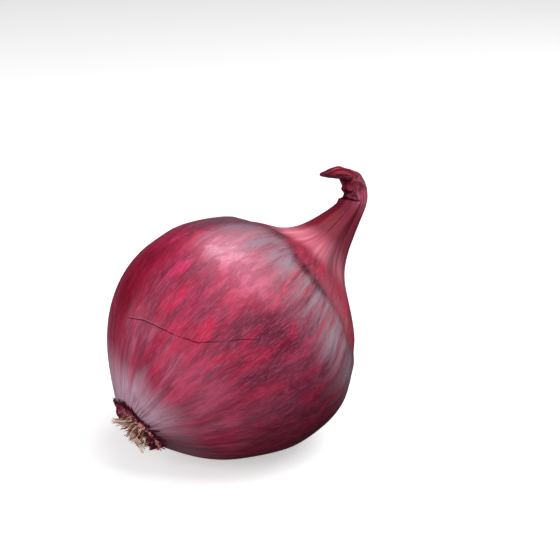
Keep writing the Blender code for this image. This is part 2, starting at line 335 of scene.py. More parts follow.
def buildPaperGrain():
    # the grain of dry papery skin, the same size in every direction
    inputs = (("Size", 0.5), ("Low", 0.4), ("High", 0.6))
    group, given, result = groupWithSockets("paperGrain", inputs, ("Mask",))
    place = addNode(group, "ShaderNodeTexCoord").outputs["Object"]
    finer = mathSocket(group, "DIVIDE", 1 / mm, given["Size"])
    noise = addNode(group, "ShaderNodeTexNoise")
    for label, value in (("Vector", place), ("Scale", finer), ("Detail", 3.0), ("Roughness", 0.6)):
        feed(group, noise.inputs[label], value)
    feed(group, result["Mask"], rangeSocket(group, noise.outputs[0], given["Low"], given["High"]))
    return group


growthStreaks = buildGrowthStreaks()
paperGrain = buildPaperGrain()


def placeGroup(tree, group, **values):
    node = addNode(tree, "ShaderNodeGroup", node_tree=group)
    for name, value in values.items():
        node.inputs[name.capitalize()].default_value = value
    return node.outputs["Mask"]


def setBump(tree, shader, height, distance, strength):
    bump = addNode(tree, "ShaderNodeBump")
    bump.inputs["Strength"].default_value = strength
    bump.inputs["Distance"].default_value = distance * mm
    tree.links.new(height, bump.inputs["Height"])
    tree.links.new(bump.outputs["Normal"], shader.inputs["Normal"])


# Finish of the outer skin
skinLook = {
    "colours": {
        "crimson": (172, 30, 62), "bright": (206, 28, 76), "garnet": (126, 1, 30), "wine": (126, 12, 42),
        "rosy": (208, 102, 132), "mauve": (122, 50, 76), "lilac": (116, 54, 84), "ink": (58, 5, 24),
        "plum": (84, 14, 42), "fuchsia": (214, 34, 96), "pearl": (232, 172, 192),
        "silver": (148, 140, 152), "smoke": (92, 60, 72), "lavender": (216, 182, 202),
        "bandRed": (172, 30, 58), "neckRose": (238, 132, 154), "neckMid": (128, 28, 50),
        "neckDark": (84, 16, 38), "flapRed": (134, 6, 38), "wallRose": (214, 112, 138),
        "lipLight": (232, 104, 132),
    },
    # strokes along the skin: how many round it, length in mm, seed, the noise where they start and
    # where they are full, wobble, and detail where it isn't the usual
    "strokes": {
        "broad": (20, 40, 3.1, 0.42, 0.62, 0.4),
        "drift": (34, 15, 7.7, 0.42, 0.6, 0.5, 1.5),
        "brighter": (60, 11, 18.5, 0.45, 0.6, 0.45, 1.3),
        "greyer": (68, 10, 1.3, 0.46, 0.6, 0.45, 1.3),
        "darker": (76, 9, 12.4, 0.48, 0.62, 0.45, 1.3),
        "hairs": (420, 7, 9.2, 0.46, 0.64, 0.4),
        "paleGrain": (560, 2.2, 5.9, 0.46, 0.68, 0.4),
        "darkGrain": (560, 2.0, 31.7, 0.48, 0.68, 0.4),
        "duskLines": (80, 14, 21.0, 0.3, 0.6, 0.7),
        "patchEdge": (60, 10, 4.4, 0.3, 0.6, 0.6, 1.5),
        "silverSheenStreaks": (96, 14, 8.8, 0.22, 0.66, 0.7),
        "bandBright": (40, 8, 15.0, 0.45, 0.6, 0.35),
        "bandMauve": (60, 8, 19.0, 0.46, 0.6, 0.35),
        "bandDark": (48, 7, 23.0, 0.5, 0.64, 0.35),
        "smokeWear": (60, 5, 27.0, 0.15, 0.55, 0.8),
        "spotWear": (70, 3, 2.6, 0.2, 0.5, 0.8),
        "paleWear": (110, 16, 6.3, 0.1, 0.6, 0.3),
        "paleLines": (230, 14, 16.1, 0.5, 0.66, 0.2),
        "rootLines": (200, 8, 24.0, 0.42, 0.6, 0.2),
        "neckBroad": (40, 30, 17.0, 0.42, 0.62, 0.25),
        "neckShadeStreaks": (44, 34, 2.2, 0.2, 0.6, 0.2),
        "neckLines": (84, 26, 10.5, 0.48, 0.66, 0.15),
        "neckRed": (64, 18, 33.0, 0.46, 0.62, 0.2),
        "flapDark": (26, 7, 11.5, 0.42, 0.64, 0.5),
        "flapBright": (50, 6, 13.5, 0.5, 0.66, 0.4),
        "wallLightStreaks": (60, 9, 40.0, 0.2, 0.6, 0.3),
        "underShadeStreaks": (40, 5, 47.0, 0.15, 0.5, 0.4),
        "crackWear": (90, 6, 14.0, 0.3, 0.5, 0.35),
    },
    # coats of colour from the bottom up, each over a first colour: colour or earlier coats, zone,
    # strokes, how much of the coat stays between the strokes, how strong it is
    "coats": {
        "shoulderRed": ("bandRed", (
            ("bright", None, "bandBright", 0, 0.35),
            ("mauve", None, "bandMauve", 0, 0.5),
            ("neckDark", None, "bandDark", 0, 0.5),
        )),
        "flapSkin": ("flapRed", (
            ("ink", None, "flapDark", 0, 0.55),
            ("bright", None, "flapBright", 0, 0.3),
        )),
        "neckSkin": ("neckRose", (
            ("neckMid", "neckUp", None, 0, 1.0),
            ("neckMid", None, "neckBroad", 0, 0.3),
            # painted shade: darker towards the top of the neck and on one side of it
            ("neckDark", "neckShade", "neckShadeStreaks", 0, 0.85),
            ("neckDark", None, "neckLines", 0, 0.24),
            ("crimson", None, "neckRed", 0, 0.3),
            ("flapSkin", "flap", None, 0, 1.0),
            # painted light: a lighter rose on the wall under the curled tip, which the flap shades from the
            # overhead lamp
            ("wallRose", "paintedLightOnWall", "wallLightStreaks", 0, 0.85),
        )),
        "wholeSkin": ("crimson", (
            # the body, with brighter, greyer and darker strokes
            ("wine", None, "broad", 0, 0.4),
            ("mauve", None, "drift", 0, 0.42),
            ("rosy", "rosyLow", "drift", 0.35, 0.75),
            ("bright", None, "brighter", 0, 0.6),
            ("mauve", None, "greyer", 0, 0.6),
            ("garnet", "deepSide", None, 0, 0.94),
            ("fuchsia", "gleam", "brighter", 0.3, 0.8),
            ("lilac", "dusk", "duskLines", 0, 0.7),
            ("ink", None, "darker", 0, 0.34),
            # rosy bloom, mostly a painted highlight where the light falls on the skin
            ("rosy", "bloomAndPaintedHighlight", "brighter", 0.55, 0.85),
            # painted highlight: pale pearl over the upper skin where the overhead light falls
            ("pearl", "paintedHighlight", "brighter", 0.55, 0.95),
            ("mauve", "plain", "hairs", 0, 0.12),
            ("plum", "darkPatch", "patchEdge", 0.6, 0.85),
            # the shoulder: a grey papery band, partly a painted sheen of reflected light, up to the smoky
            # crest, and a red band behind it
            ("silver", "greyBandAndSheen", "silverSheenStreaks", 0, 0.85),
            ("shoulderRed", "redBand", None, 0, 0.92),
            ("smoke", "smoke", "smokeWear", 0, 0.9),
            # painted shade and painted reflection along the top edge, where the skin turns away from the
            # light
            ("smoke", "paintedTopShade", "drift", 0.7, 0.85),
            ("ink", "spots", "spotWear", 0, 0.9),
            # the pale skin next to the roots, with fine lines that start dark at the collar
            ("lavender", "paleRoot", "paleWear", 0.6, 0.9),
            ("mauve", "paleRoot", "paleLines", 0, 0.26),
            ("smoke", "greyRoot", None, 0, 0.75),
            ("ink", "rootDusk", "rootLines", 0, 0.7),
            # the light and dark papery grain
            ("rosy", "plain", "paleGrain", 0, 0.32),
            ("mauve", "plain", "darkGrain", 0, 0.34),
            # the neck, with painted shade in the hollows of its torn tip and painted highlights on its
            # edges
            ("neckSkin", "neck", None, 0, 1.0),
            # painted shade on the underside of the curled tip
            ("ink", "flapUnderShade", "underShadeStreaks", 0, 0.85),
            # painted highlight along the edges of the torn tip
            ("lipLight", "tipEdgeHighlight", None, 0, 0.75),
            # painted shade in the mouth and creases of the torn tip, darker towards its end
            ("ink", "hollow", None, 0, 0.92),
        )),
    },
    # the crack's dark line, and the painted shadow along the neck's fold where the sheet beside it stands
    # higher: mm from the line where the dark is full and where it ends, strength
    "crackDark": (0.05, 0.22, 0.9), "foldShadow": (0.08, 0.28, 0.9),
    # the painted highlight on the crack's upper lip: mm where it starts, is full, starts to end and ends,
    # strength
    "crackLight": (0.06, 0.2, 0.2, 0.5, 0.5),
    "roughness": 0.46, "greyerRough": 0.06, "grainRough": -0.05, "neckRough": 0.1, "hollowRough": 0.35,
    "specular": 0.28, "coat": 0.06, "coatRoughness": 0.4,
    "hairHeight": 0.5, "paleHeight": 0.35, "darkHeight": -0.3, "bumpDepth": 0.05, "bumpStrength": 0.6,
}


def makeSkinFinish():
    look = skinLook
    colour = {name: linearColour(*given) for name, given in look["colours"].items()}
    made, tree, shader = newMaterial("dryOnionSkin")
    labels = ("around", "length", "seed", "low", "high", "wobble", "detail")
    strokes, zones = {}, {}
    for name, given in look["strokes"].items():
        strokes[name] = placeGroup(tree, growthStreaks, **dict(zip(labels, given)))

    def zoneSocket(name):
        if name not in zones:
            zones[name] = attributeSocket(tree, name)
        return zones[name]

    zones["plain"] = rangeSocket(tree, zoneSocket("deepSide"), 0.0, 1.0, 1.0, 0.2)

    def both(first, second):
        return mathSocket(tree, "MULTIPLY", first, second)

    def coatMask(zone, stroke, between):
        if stroke is None:
            return zoneSocket(zone)
        broken = strokes[stroke]
        if between > 0:
            broken = rangeSocket(tree, broken, 0.0, 1.0, between, 1.0)
        return both(zoneSocket(zone), broken) if zone else broken

    for name, (base, coats) in look["coats"].items():
        painted = colour[base]
        for above, zone, stroke, between, amount in coats:
            painted = paintOver(tree, painted, colour[above], coatMask(zone, stroke, between), amount)
        colour[name] = painted
    skin = colour["wholeSkin"]

    # the crack in the skin, and the painted shadow along the fold up the neck
    def darkLine(distance, full, end):
        return rangeSocket(tree, distance, full, end, 1.0, 0.0)

    crackSide = zoneSocket("crackSide")
    crack = mathSocket(tree, "ABSOLUTE", crackSide)
    start, full, fading, end, amount = look["crackLight"]
    lip = both(rangeSocket(tree, crackSide, start, full), darkLine(crack, fading, end))
    # painted highlight along the crack's raised upper lip
    skin = paintOver(tree, skin, colour["rosy"], both(lip, zoneSocket("crackLipHighlight")), amount)
    full, end, amount = look["crackDark"]
    shows = both(zoneSocket("crackShows"), strokes["crackWear"])
    skin = paintOver(tree, skin, colour["ink"], both(darkLine(crack, full, end), shows), amount)
    # painted shadow along the neck's fold, under the edge of the raised sheet
    full, end, amount = look["foldShadow"]
    fold = mathSocket(tree, "ABSOLUTE", zoneSocket("foldSide"))
    shows = zoneSocket("foldShows")
    skin = paintOver(tree, skin, colour["ink"], both(darkLine(fold, full, end), shows), amount)
    tree.links.new(skin, shader.inputs["Base Color"])

    hollows = mathSocket(tree, "MAXIMUM", zoneSocket("flapUnderShade"), zoneSocket("hollow"))
    rough = look["roughness"]
    for mask, more in ((strokes["greyer"], look["greyerRough"]), (strokes["paleGrain"], look["grainRough"]),
                       (zoneSocket("neck"), look["neckRough"]), (hollows, look["hollowRough"])):
        rough = mathSocket(tree, "MULTIPLY_ADD", mask, more, rough)
    tree.links.new(rough, shader.inputs["Roughness"])
    shader.inputs["Specular IOR Level"].default_value = look["specular"]
    shader.inputs["Coat Weight"].default_value = look["coat"]
    shader.inputs["Coat Roughness"].default_value = look["coatRoughness"]
    height = mathSocket(tree, "MULTIPLY", strokes["paleGrain"], look["paleHeight"])
    height = mathSocket(tree, "MULTIPLY_ADD", strokes["hairs"], look["hairHeight"], height)
    height = mathSocket(tree, "MULTIPLY_ADD", strokes["darkGrain"], look["darkHeight"], height)
    setBump(tree, shader, height, look["bumpDepth"], look["bumpStrength"])
    return made


# The outer skin
outerSkin = {
    "columns": 400,
    # spacing of the rings in mm, and where the finer ones start
    "bodyStep": 0.62, "neckStep": 0.3, "tipStep": 0.16, "neckFrom": 36.0, "tipFrom": 50.0,
    # the skin turns in behind the root plate and closes: radius, distance
    "rootClosing": ((0.35, -38.15), (4.0, -38.2), (6.6, -38.3), (7.6, -38.4), (8.5, -38.5)),
    # the tip closes round: shares of its last stretch
    "tipClosing": (0.35, 0.65, 0.85, 0.97),
    # low ribs and veins: count round the onion, height in mm, phase, drift in radians for each mm
    "ribs": (
        (7, 0.04, 0.4, 0.004), (11, 0.035, 2.9, -0.006), (13, 0.03, 5.1, 0.01), (19, 0.03, 1.2, -0.012),
        (31, 0.025, 3.3, 0.02), (47, 0.02, 0.7, -0.015), (59, 0.016, 4.2, 0.02),
    ),
    # sharp folds of the dried neck: count, height, phase, twist
    "folds": ((7, 0.13, 0.0, 0.035), (17, 0.07, 1.9, 0.02), (29, 0.045, 0.8, 0.028)),
    "crumple": 0.3,
    # crest of the shoulder, where the grey band ends: direction, distance
    "edge": (
        (3.0, 25.4), (3.16, 26.6), (3.4, 29.2), (3.65, 28.4), (3.85, 26.2), (4.04, 23.8), (4.36, 22.6),
        (4.63, 22.2), (4.8, 21.2), (4.98, 19.4), (5.4, 19.8), (0.4, 21.5), (1.6, 22.5), (2.5, 24.0),
    ),
    # middle of the stretch over which the grey band fades into the body: direction, distance
    "innerEdge": (
        (3.41, 16.6), (3.73, 16.3), (4.09, 13.2), (4.37, 11.2), (4.74, 8.5), (5.02, 7.5),
        (5.6, 9.0), (0.4, 12.0), (1.6, 13.0), (2.6, 15.0),
    ),
    "crest": 0.22,                          # height in mm
    # paths on the skin: distance, direction
    "crack": (
        (-23.1, 3.07), (-22.3, 3.21), (-21.0, 3.38), (-20.0, 3.56), (-19.2, 3.68), (-18.7, 3.75),
        (-17.6, 3.84), (-16.1, 3.94), (-14.4, 3.99), (-11.8, 4.07), (-6.9, 4.18), (-0.4, 4.34),
    ),
    "crackLip": 0.08,
    "neckFold": ((40.5, 3.87), (44.8, 3.85), (48.0, 3.85), (52.2, 3.81), (56.6, 3.79)),
    "neckFoldStep": 0.26,
    "mouth": {"place": (69.0, 5.2), "reach": (4.8, 0.68), "depth": 1.05, "lip": 0.1, "rim": 0.25},
    # painted shade in the hollows of the tip: place, reach, how dark
    "tipShades": (
        ((69.4, 4.74), (2.8, 0.34), 1.2), ((60.7, 3.0), (0.8, 0.5), 1.2),
        ((59.3, 3.7), (0.5, 0.4), 1.0), ((67.6, 4.5), (1.6, 0.4), 0.9),
    ),
    "tipDark": 0.75,
    # painted highlight along the tip's top edge: its path
    "highlightRim": ((73.2, 5.5), (71.8, 5.82), (70.0, 6.02), (68.0, 6.14), (66.6, 6.2)),
    # creases of the torn tip: path, width at each end, depth at each end, shade
    "creases": (
        (((57.3, 2.4), (57.5, 3.09), (57.7, 3.7), (58.1, 4.3)), (0.8, 0.3), (1.0, 0.6), 0.95),
        (((58.4, 2.4), (60.3, 2.8), (61.0, 3.4)), (1.2, 0.6), (1.2, 0.7), 1.0),
        (((58.1, 4.05), (59.6, 3.86), (61.0, 3.7)), (0.4, 0.14), (0.55, 0.15), 0.7),
        (((63.0, 2.6), (65.5, 3.2), (66.5, 4.0)), (0.4, 0.2), (0.4, 0.2), 0.35),
        (((66.2, 3.9), (66.4, 4.5), (66.0, 5.0), (64.8, 5.5)), (0.5, 0.22), (0.55, 0.2), 0.85),
    ),
    # stretches over which something starts, in mm along the onion
    "spans": {
        "ribs": (-38, -30), "noRibs": (30, 42), "folds": (33, 50), "fewerFolds": (66, 74),
        "crumple": (52, 58), "rootDusk": (-37.8, -35.2), "notRosy": (-27, -13), "bulb": (-34, -20),
        "pastBulb": (10, 24), "neck": (29.5, 34.5), "noBand": (31, 34), "neckUp": (34.5, 43.5),
        "neckTop": (48, 55), "flap": (63.5, 66.5), "flapUnderShade": (65.6, 67.2), "tip": (70.0, 72.6),
    },
    # sides of the onion: direction, and the cosines away from it where the side starts and is full
    "sides": {
        "dull": (5.9, 0.55, 0.95), "lessPale": (5.5, 0.3, 0.95), "rootDusk": (5.2, -0.4, 0.6),
        "neckShade": (5.0, 0.45, 0.9), "flapUnderShade": (4.05, 0.35, 0.75),
    },
    # soft patches of each tint: distance, direction, reach along and round the onion, how strong
    "patches": {
        "darkPatch": (
            (1.7, 4.36, 4.5, 0.1, 0.75), (-1.0, 4.72, 7.0, 0.14, 0.5), (0.5, 4.17, 5.5, 0.1, 1.0),
            (-3.0, 4.2, 4.0, 0.07, 0.5), (-6.5, 4.05, 5.0, 0.05, 0.35), (-1.0, 4.0, 4.0, 0.05, 0.4),
            (-14.0, 4.5, 5.0, 0.07, 0.5), (6.0, 0.9, 8.0, 0.14, 0.8), (-9.0, 1.8, 8.0, 0.12, 0.7),
        ),
        "deepSide": (
            (-15.0, 2.95, 13.0, 0.22, 1.0), (-6.0, 0.4, 20.0, 0.5, 0.8), (-4.0, 3.05, 12.0, 0.25, 0.35),
        ),
        "dusk": ((2.0, 4.75, 15.0, 0.5, 1.0), (2.0, 2.0, 18.0, 0.6, 0.7), (11.0, 4.18, 6.0, 0.12, 0.6)),
        # rosy bloom, mostly a painted highlight where the light falls
        "bloomAndPaintedHighlight": (
            (9.5, 3.6, 11.0, 0.3, 1.0), (6.0, 3.92, 8.0, 0.2, 0.7), (1.0, 4.6, 6.0, 0.1, 0.4),
            (-24.0, 4.4, 8.0, 0.36, 0.6), (-12.0, 4.75, 6.0, 0.14, 0.4),
        ),
        # painted highlight on the upper skin
        "paintedHighlight": ((11.0, 3.48, 8.0, 0.2, 1.0),),
        "gleam": ((-1.0, 3.0, 9.0, 0.15, 1.0), (-4.0, 3.35, 8.0, 0.1, 0.7), (-12.0, 3.7, 9.0, 0.12, 0.5)),
        # painted shade and reflection along the top edge
        "paintedTopShade": (
            (14.0, 2.93, 7.0, 0.14, 1.2), (21.0, 3.05, 5.0, 0.13, 1.2), (25.5, 3.2, 4.5, 0.14, 1.2),
            (29.6, 3.36, 3.6, 0.17, 1.2),
        ),
        "spots": (
            (24.2, 4.1, 1.8, 0.07, 1.6), (23.2, 4.28, 1.6, 0.065, 1.4), (23.0, 4.4, 1.2, 0.06, 0.9),
            (25.4, 3.93, 1.3, 0.06, 0.8), (28.0, 0.9, 1.5, 0.08, 0.6), (27.0, 3.54, 1.6, 0.16, 0.7),
        ),
        "greyRoot": ((-36.5, 5.15, 6.5, 0.42, 1.0),),
        # painted light on the wall under the curled tip
        "paintedLightOnWall": ((60.6, 4.6, 4.6, 1.1, 1.0),),
    },
    "dullShare": 0.55,                      # of the dark patch's tint all over the dull side
    # the pale skin at the roots: how far up it reaches, how it fades, and one longer tongue of it
    "paleReach": -33.6, "paleFade": (-3.5, 4.5), "paleTongue": (2.85, 0.3),
}


def begins(span, along):
    # from 0 before a named stretch of the onion to 1 after it
    return smoothStep(along, *outerSkin["spans"][span])


def facing(side, around):
    # 1 on a named side of the onion, 0 away from it
    turn, start, full = outerSkin["sides"][side]
    return smoothStep(np.cos(around - turn), start, full)


def skinRows():
    # distances of the rings, evenly spaced on the skin
    look = outerSkin
    first, last = growth["skin"][0][0], growth["skin"][-1][0]
    fine = np.linspace(first, last, 4000)
    steps = np.hypot(np.diff(fine), np.diff(skinRadius(fine)))
    spacing = np.where(fine[1:] < look["neckFrom"], look["bodyStep"], look["neckStep"])
    spacing = np.where(fine[1:] > look["tipFrom"], look["tipStep"], spacing)
    count = np.concatenate([[0.0], np.cumsum(steps / spacing)])
    rings = np.interp(np.linspace(0, count[-1], round(count[-1]) + 1), count, fine)
    shares = np.array(look["tipClosing"])
    closing = skinRadius(last)[0] * np.sqrt(1 - shares**2)
    rings = np.concatenate([rings, last + (growth["tip"] - last) * shares])
    return rings, np.concatenate([skinRadius(rings[:-len(shares)]), closing])


def edgeAt(around, rows):
    table = sorted(rows)
    return np.interp(around, [row[0] for row in table], [row[1] for row in table], period=fullTurn)


def pastCrest(along, around):
    # distance past the crest of the shoulder
    ragged = 0.5 * wavyNoise(along, around, 8, 46, 30.0) + 0.25 * wavyNoise(along, around, 3, 110, 30.0)
    return along - edgeAt(around, outerSkin["edge"]) + ragged


def tornTip(along, around, radius):
    # the open mouth of the curled tip, and the creases under it: height, painted shade in the hollows and
    # painted highlights on the edges
    look = outerSkin
    mouth = look["mouth"]
    up = turnBetween(around, mouth["place"][1]) / mouth["reach"][1]
    inside = 1 - ((along - mouth["place"][0]) / mouth["reach"][0]) ** 2 - up**2
    inside = inside + 0.12 * wavyNoise(along, around, 33, 40, 1.4)
    scoop = smoothStep(inside, 0.0, 0.3) * (0.4 + 0.6 * smoothStep(-up, -0.6, 0.4))
    onEdge = np.exp(-((inside / 0.12) ** 2))
    lowerLip = onEdge * smoothStep(-up, -0.2, 0.3)
    upperRim = onEdge * smoothStep(up, -0.2, 0.3)
    lift = mouth["lip"] * lowerLip + mouth["rim"] * upperRim - mouth["depth"] * scoop
    shade = scoop * smoothStep(-up, -0.5, 0.25)
    for path, widths, depths, dark in look["creases"]:
        distance, share = pathDistance(along, around, radius, path)
        width = widths[0] + (widths[1] - widths[0]) * share
        depth = depths[0] + (depths[1] - depths[0]) * share
        near = np.exp(-((distance / width) ** 2))
        beside = np.exp(-(((distance - 1.6 * width) / width) ** 2))
        lift = lift - depth * near + 0.14 * dark * beside
        shade = np.maximum(shade, smoothStep(near, 0.35, 0.85) * dark)
    far = pathDistance(along, around, radius, look["highlightRim"])[0]
    light = np.exp(-((far / 0.16) ** 2))
    for place, reach, dark in look["tipShades"]:
        shade = np.maximum(shade, np.clip(dark * softPatch(along, around, place, reach), 0, 1))
    shade = np.maximum(shade, look["tipDark"] * begins("tip", along))
    return lift + 0.1 * light, shade, np.clip(0.15 * upperRim + light, 0, 1)


def skinRelief(along, around, radius):
    # height above the plain grown skin, in mm, and what the finish needs to know of it
    look = outerSkin
    lift = 0.04 * wavyNoise(along, around, 4, 18, 9.0)
    for count, high, phase, drift in look["ribs"]:
        lift = lift + high * np.cos(count * around + phase + drift * along)
    lift = lift * begins("ribs", along) * (1 - begins("noRibs", along))

    onNeck = begins("folds", along) * (1 - 0.6 * begins("fewerFolds", along))
    for count, high, phase, twist in look["folds"]:
        turned = count * around + phase + twist * along * (count / growth["pleats"])
        sharp = 0.6 - 1.2 * np.abs(np.sin(turned / 2))
        lift = lift + high * onNeck * sharp * np.clip(radius / 5, 0.5, 1.3)
    rough = wavyNoise(along, around, 21, 13, 2.1) + 0.6 * np.abs(wavyNoise(along, around, 22, 22, 1.2))
    lift = lift + look["crumple"] * begins("crumple", along) * rough * np.clip(radius / 3.6, 0.3, 1.0)

    past = pastCrest(along, around)
    crest = np.exp(-(((past + 1.2) / 2.0) ** 2)) - 1.2 * np.exp(-(((past - 1.8) / 2.0) ** 2))
    lift = lift + look["crest"] * (1 + 0.8 * softPatch(along, around, (26, 3.2), (20, 0.5))) * crest

    crackSide, crackPlace = sideOfRing(along, around, radius, look["crack"])
    crackSide = crackSide + 0.12 * wavyNoise(along, around, 51, 150, 40.0)
    crackShows = smoothStep(crackPlace, 0.0, 0.12) * (1 - smoothStep(crackPlace, 0.84, 1.0))
    lifted = smoothStep(crackSide, -0.1, 0.3) * np.exp(-np.clip(crackSide, 0, None) / 1.4)
    lift = lift + look["crackLip"] * crackShows * lifted

    foldSide, foldPlace = sideOfRib(along, around, radius, look["neckFold"])
    foldShows = smoothStep(foldPlace, 0.0, 0.35) * (1 - smoothStep(foldPlace, 0.9, 1.0))
    stepped = smoothStep(foldSide, -0.15, 0.1) * np.exp(-np.clip(foldSide, 0, None) / 1.3)
    lift = lift + look["neckFoldStep"] * foldShows * stepped

    tipLift, hollow, tipEdgeHighlight = tornTip(along, around, radius)
    crackLipHighlight = crackShows * (1 - smoothStep(crackPlace, 0.3, 0.6))
    shades = {"crackSide": crackSide, "crackShows": crackShows, "crackLipHighlight": crackLipHighlight,
              "foldSide": foldSide, "foldShows": foldShows, "hollow": hollow, "tipEdgeHighlight": tipEdgeHighlight}
    return lift + tipLift, shades


def skinZones(along, around):
    # where each tint of the skin lies
    look = outerSkin

    def wavy(seed, count, spacing):
        return wavyNoise(along, around, seed, count, spacing)

    zones = {}
    for name, rows in look["patches"].items():
        zones[name] = sum(much * softPatch(along, around, row[:2], row[2:]) for *row, much in rows)
    onBulb = begins("bulb", along) * (1 - begins("pastBulb", along))
    zones["darkPatch"] = zones["darkPatch"] + look["dullShare"] * facing("dull", around) * onBulb

    # the grey band, partly a painted sheen of reflected light, the smoky crest and the red band behind it
    past = pastCrest(along, around)
    inner = along - edgeAt(around, look["innerEdge"]) + 2.6 * wavy(9, 60, 12.0)
    zones["greyBandAndSheen"] = smoothStep(inner, -7.0, 8.0) * (1 - smoothStep(past, -2.0, 0.8))
    zones["smoke"] = np.exp(-(((past - 0.1 + 1.1 * wavy(15, 70, 40.0)) / 1.9) ** 2))
    zones["smoke"] = zones["smoke"] * (0.65 + 0.35 * wavy(16, 40, 40.0))
    zones["redBand"] = smoothStep(past, -0.8, 1.4) * (1 - begins("noBand", along))

    # the root end
    tongueAt, tongueWidth = look["paleTongue"]
    tongue = np.exp(-((turnBetween(around, tongueAt) / tongueWidth) ** 2))
    reach = look["paleReach"] + 1.2 * wavy(6, 60, 9.0) + 1.2 * wavy(7, 24, 12.0) + tongue
    pale = 1 - smoothStep(along - reach, *look["paleFade"])
    zones["paleRoot"] = pale * (1 - 0.5 * facing("lessPale", around))
    zones["rootDusk"] = 1 - begins("rootDusk", along + 0.8 * wavy(14, 90, 40.0))
    zones["rootDusk"] = zones["rootDusk"] * (0.3 + 0.7 * facing("rootDusk", around))
    zones["rosyLow"] = 1 - begins("notRosy", along)

    # the neck
    zones["neck"] = begins("neck", along + 1.6 * wavy(12, 26, 12.0))
    zones["neckUp"] = begins("neckUp", along)
    # painted shade: darker towards the top of the neck and on one side of it
    zones["neckShade"] = 0.85 * begins("neckTop", along) + facing("neckShade", around)
    zones["flap"] = begins("flap", along)
    # painted shade under the curled tip, on the side facing down
    zones["flapUnderShade"] = begins("flapUnderShade", along) * facing("flapUnderShade", around)
    return {name: np.clip(data, 0, 1) for name, data in zones.items()}


def makeOuterSkin():
    columns = outerSkin["columns"]
    closingRadii, closingRings = np.array(outerSkin["rootClosing"]).T
    rings, radii = skinRows()
    rings = np.concatenate([closingRings, rings])
    radii = np.concatenate([closingRadii, radii])
    turns = np.linspace(0, fullTurn, columns + 1)[:-1]
    along, around = (grid.ravel() for grid in np.meshgrid(rings, turns, indexing="ij"))
    radius = np.repeat(radii, columns)
    plain = grownPoint(along, around, radius)

    grid = plain.reshape(len(rings), columns, 3)
    onward = np.gradient(grid, axis=0)
    sideways = np.roll(grid, -1, axis=1) - np.roll(grid, 1, axis=1)
    outward = np.cross(sideways, onward)
    outward /= np.linalg.norm(outward, axis=2, keepdims=True) + 1e-9
    lift, shades = skinRelief(along, around, radius)
    lift[:columns * len(closingRings)] = 0
    lift *= np.clip(radius / 2.0, 0, 1)
    grown = layDown(plain + outward.reshape(-1, 3) * lift[:, None])

    rows = len(rings)
    start, column = np.arange(rows - 1)[:, None] * columns, np.arange(columns)[None, :]
    first, second = start + column, start + (column + 1) % columns
    faces = np.stack([first, second, second + columns, first + columns], axis=2).reshape(-1, 4).tolist()
    ends = [grown[:columns].mean(axis=0), grown[-columns:].mean(axis=0)]
    points = np.concatenate([grown, ends])
    lastRow = (rows - 1) * columns
    for i in range(columns):
        j = (i + 1) % columns
        faces.append((j, i, rows * columns))
        faces.append((lastRow + i, lastRow + j, rows * columns + 1))

    values = {**shades, **skinZones(along, around)}
    values = {key: np.append(data, [data[0], data[-1]]) for key, data in values.items()}
    direction = np.stack([np.cos(around), np.sin(around), along / 100], axis=1)
    direction = np.concatenate([direction, direction[:1], direction[-1:]])
    return meshPiece("onionSkin", points, faces, makeSkinFinish(), values, {"growth": direction})


onionSkin = makeOuterSkin()
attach(onionSkin, "root")
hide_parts("bulb")
print("outer skin:", len(onionSkin.data.polygons), "faces")


# The frayed collar round the roots
collar = {
    # teeth: how many in a layer, sizes in mm, how far they stand past the torn edge, and the longer
    # spikes on one side
    "teeth": 52, "length": (2.6, 4.6), "width": (1.0, 1.7), "thickness": 0.14, "lift": 0.16, "curl": 0.3,
    "past": (0.9, 3.6), "spikes": 2.2, "spikeSide": 4.7, "seed": 31,
    # layers of teeth from the skin up: share of the length, tone
    "layers": ((1.0, 0.05), (0.75, 0.3), (0.6, 0.65), (0.25, 0.8)),
    "layerStep": 0.4,                       # mm that each layer ends lower than the one under it
    # where the torn skin ends: direction, mm up the skin from its rim, below 0 in over the end
    "reach": (
        (0.0, 0.5), (1.4, 0.2), (2.2, -1.6), (2.5, -2.5), (3.0, -2.6), (3.35, -2.3), (3.6, -2.0),
        (4.0, -1.6), (4.4, -1.2), (4.9, -0.8), (5.4, 0.0),
    ),
    # the band of fibrous skin under the teeth, thicker on one side
    "bandColumns": 540, "bandRows": 22, "bandLift": 0.34, "bandRough": 0.55,
    "torn": 1.9, "bulge": 1.3, "bulgeSide": 1.9,
    # the plate of roots sits off the middle: distance and direction, radius of its rim
    "shift": (3.0, 5.6), "rim": 6.4,
    # torn lobes: direction round the plate, width, length, how far they curl in
    "lobes": (
        (4.35, 1.8, 1.8, 0.8), (4.65, 2.2, 2.4, 0.9), (4.95, 2.0, 2.7, 1.1), (5.25, 2.4, 2.5, 1.0),
        (5.6, 2.2, 2.7, 1.3), (5.95, 2.0, 2.2, 1.0),
    ),
    "lobeFoot": -38.5, "lobeThickness": 0.35, "lobeTone": 0.36,
    "dark": (52, 4, 26), "wine": (132, 28, 60), "pale": (214, 126, 146), "roughness": 0.55,
}
rimHeight, rimRadius = growth["skin"][0]


def plateMiddle():
    far, turn = collar["shift"]
    return np.array([far * math.cos(turn), far * math.sin(turn), 0.0])


def rimAt(around):
    # radius of the plate's rim from the onion's own axis
    far, turn = collar["shift"]
    side = far * np.cos(around - turn)
    return side + np.sqrt(side**2 - far**2 + collar["rim"] ** 2)


